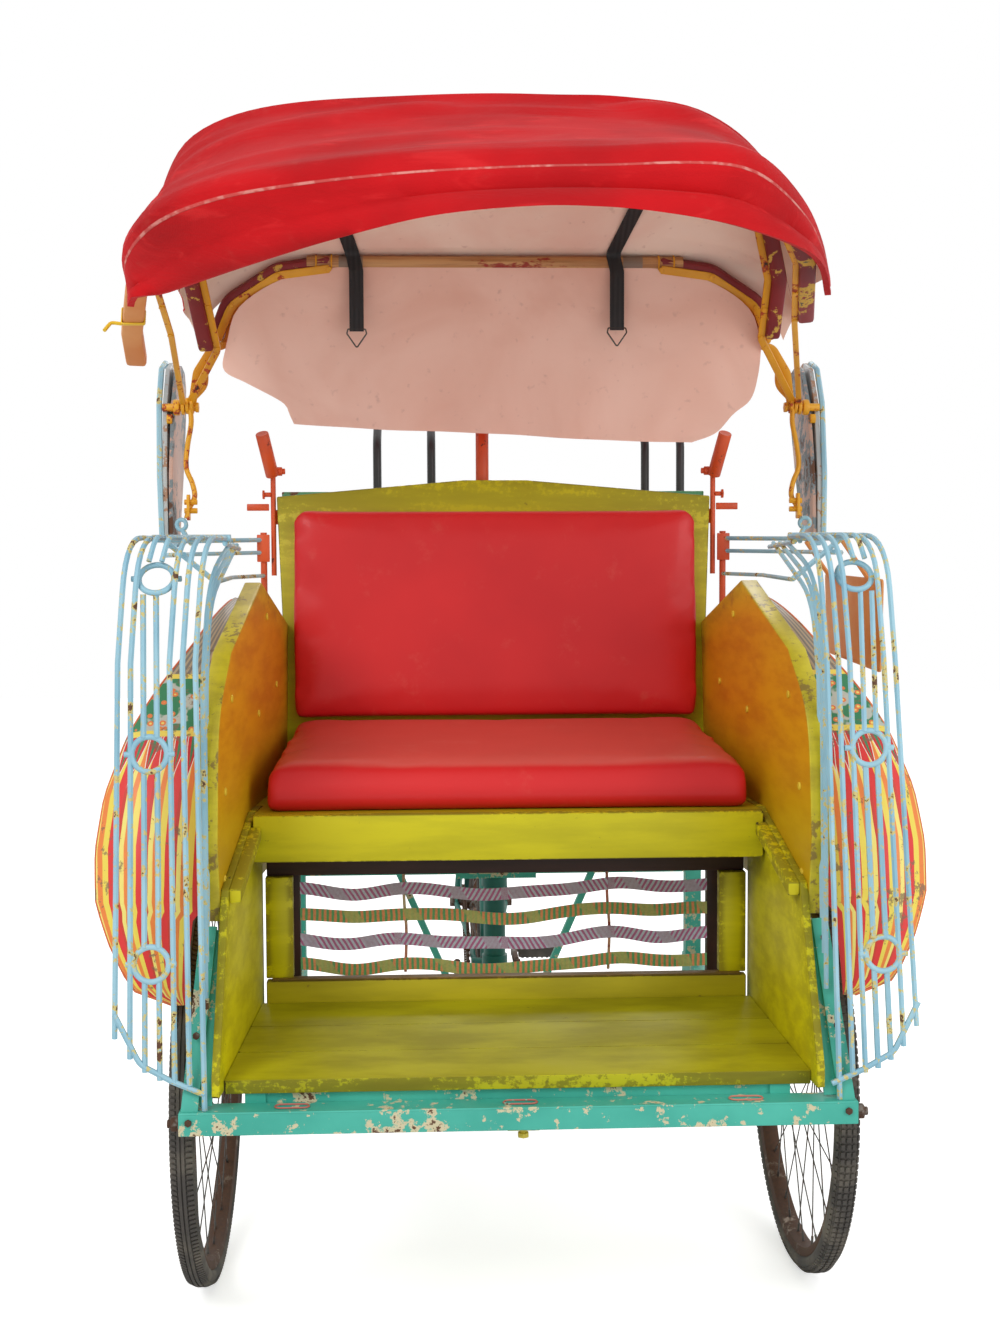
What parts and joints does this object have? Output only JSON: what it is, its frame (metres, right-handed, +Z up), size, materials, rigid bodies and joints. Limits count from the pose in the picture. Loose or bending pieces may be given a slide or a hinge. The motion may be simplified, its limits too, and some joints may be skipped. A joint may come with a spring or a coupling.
{
  "type": "cycle rickshaw",
  "caption": "Passenger cab on two front wheels with a folding hood, pushed by a steerable pedalled rear frame with a saddle, crank, chain and driven wheel.",
  "frame": {"origin": "on the ground, below the middle of the vehicle's length and width", "axes": "+X to the right seen from the front, the passengers face -Y, +Z up"},
  "size_m": [1.2736, 2.2, 1.9756],
  "materials": {
    "hood_cloth": "wrinkled red sheet cloth",
    "lining_cloth": "pale pink cloth with a dark hem",
    "webbing": "black woven strap",
    "band_weave": "striped woven strap",
    "red_vinyl": "smooth glossy red vinyl",
    "yellow_board": "brushed yellow-green paint on board",
    "orange_board": "yellow-orange paint on board",
    "olive_floor": "worn olive paint on board",
    "teal_steel": "chipped teal paint",
    "green_steel": "dark green paint",
    "blue_steel": "chipped pale blue paint",
    "amber_steel": "chipped amber paint",
    "orange_steel": "orange paint",
    "fender_paint": "striped red, yellow and orange paint",
    "wing_paint": "worn pale paint",
    "black_steel": "black paint",
    "pole": "bare tan pole with dark red ends",
    "rusty_steel": "rusted steel",
    "spoke_steel": "dull spokes",
    "rubber_tyre": "dusty dark rubber",
    "saddle_cover": "black saddle cover",
    "pedal_rubber": "black rubber blocks"
  },
  "bodies": {
    "cab": {"chassis": "teal_steel", "king_pin": "rusty_steel", "front_sill": "teal_steel", "floor_board": "olive_floor", "foot_panels": "yellow_board", "side_panels": "orange_board", "seat_box": "yellow_board", "foot_bands": "band_weave", "back_board": "yellow_board", "seat_cushion": "red_vinyl", "back_cushion": "red_vinyl", "front_axle": "rusty_steel", "leaf_springs": "rusty_steel", "guards": "blue_steel", "fenders": "fender_paint", "wing_plates": "wing_paint", "arm_rails": "blue_steel", "hood_stays": "amber_steel", "pole_sockets": "orange_steel", "push_handle": "black_steel"},
    "hood_rear": {"rear_bow": "pole", "back_flap": "lining_cloth", "hood_straps": "webbing"},
    "hood_mid": {"mid_bow": "amber_steel", "roof_rear": "hood_cloth"},
    "hood_front": {"front_bow": "pole", "roof_front": "hood_cloth"},
    "wheel_left": {"tyre_left": "rubber_tyre", "rim_left": "rusty_steel", "spokes_left": "spoke_steel", "hub_left": "rusty_steel"},
    "wheel_right": {"tyre_right": "rubber_tyre", "rim_right": "rusty_steel", "spokes_right": "spoke_steel", "hub_right": "rusty_steel"},
    "rear_frame": {"rear_frame": "green_steel", "rear_axle": "rusty_steel", "rear_fender": "green_steel", "saddle": "saddle_cover", "chain": "rusty_steel"},
    "wheel_rear": {"tyre_rear": "rubber_tyre", "rim_rear": "rusty_steel", "spokes_rear": "spoke_steel", "hub_rear": "rusty_steel"},
    "crank": {"crankset": "rusty_steel"},
    "pedal_left": {"pedal_left": "pedal_rubber"},
    "pedal_right": {"pedal_right": "pedal_rubber"}
  },
  "joints": [
    {"name": "wheel_left_spin", "type": "hinge", "parent": "cab", "child": "wheel_left", "pos_m": [-0.503, -0.648, 0.35], "axis": [1, 0, 0], "continuous": true},
    {"name": "wheel_right_spin", "type": "hinge", "parent": "cab", "child": "wheel_right", "pos_m": [0.503, -0.648, 0.35], "axis": [1, 0, 0], "continuous": true},
    {"name": "steering", "type": "hinge", "parent": "cab", "child": "rear_frame", "pos_m": [0, -0.148, 0.45], "axis": [0, 0, 1], "range_deg": [-40, 40]},
    {"name": "wheel_rear_spin", "type": "hinge", "parent": "rear_frame", "child": "wheel_rear", "pos_m": [0, 0.732, 0.35], "axis": [1, 0, 0], "continuous": true},
    {"name": "crank_spin", "type": "hinge", "parent": "rear_frame", "child": "crank", "pos_m": [0, 0.282, 0.29], "axis": [1, 0, 0], "continuous": true},
    {"name": "pedal_left_spin", "type": "hinge", "parent": "crank", "child": "pedal_left", "pos_m": [-0.122, 0.112, 0.29], "axis": [1, 0, 0], "continuous": true},
    {"name": "pedal_right_spin", "type": "hinge", "parent": "crank", "child": "pedal_right", "pos_m": [0.122, 0.452, 0.29], "axis": [1, 0, 0], "continuous": true},
    {"name": "hood_fold", "type": "hinge", "parent": "cab", "child": "hood_rear", "pos_m": [0, -0.228, 1.5], "axis": [-1, 0, 0], "range_deg": [0, 90]},
    {"name": "hood_mid_fold", "type": "hinge", "parent": "hood_rear", "child": "hood_mid", "pos_m": [0, -0.228, 1.5], "axis": [-1, 0, 0], "range_deg": [0, 8.1]},
    {"name": "hood_front_fold", "type": "hinge", "parent": "hood_mid", "child": "hood_front", "pos_m": [0, -0.228, 1.5], "axis": [-1, 0, 0], "range_deg": [0, 16.5]}
  ],
  "couplings": [
    {"joint": "hood_mid_fold", "follows": "hood_fold", "ratio": 0.09},
    {"joint": "hood_front_fold", "follows": "hood_fold", "ratio": 0.18333}
  ]
}
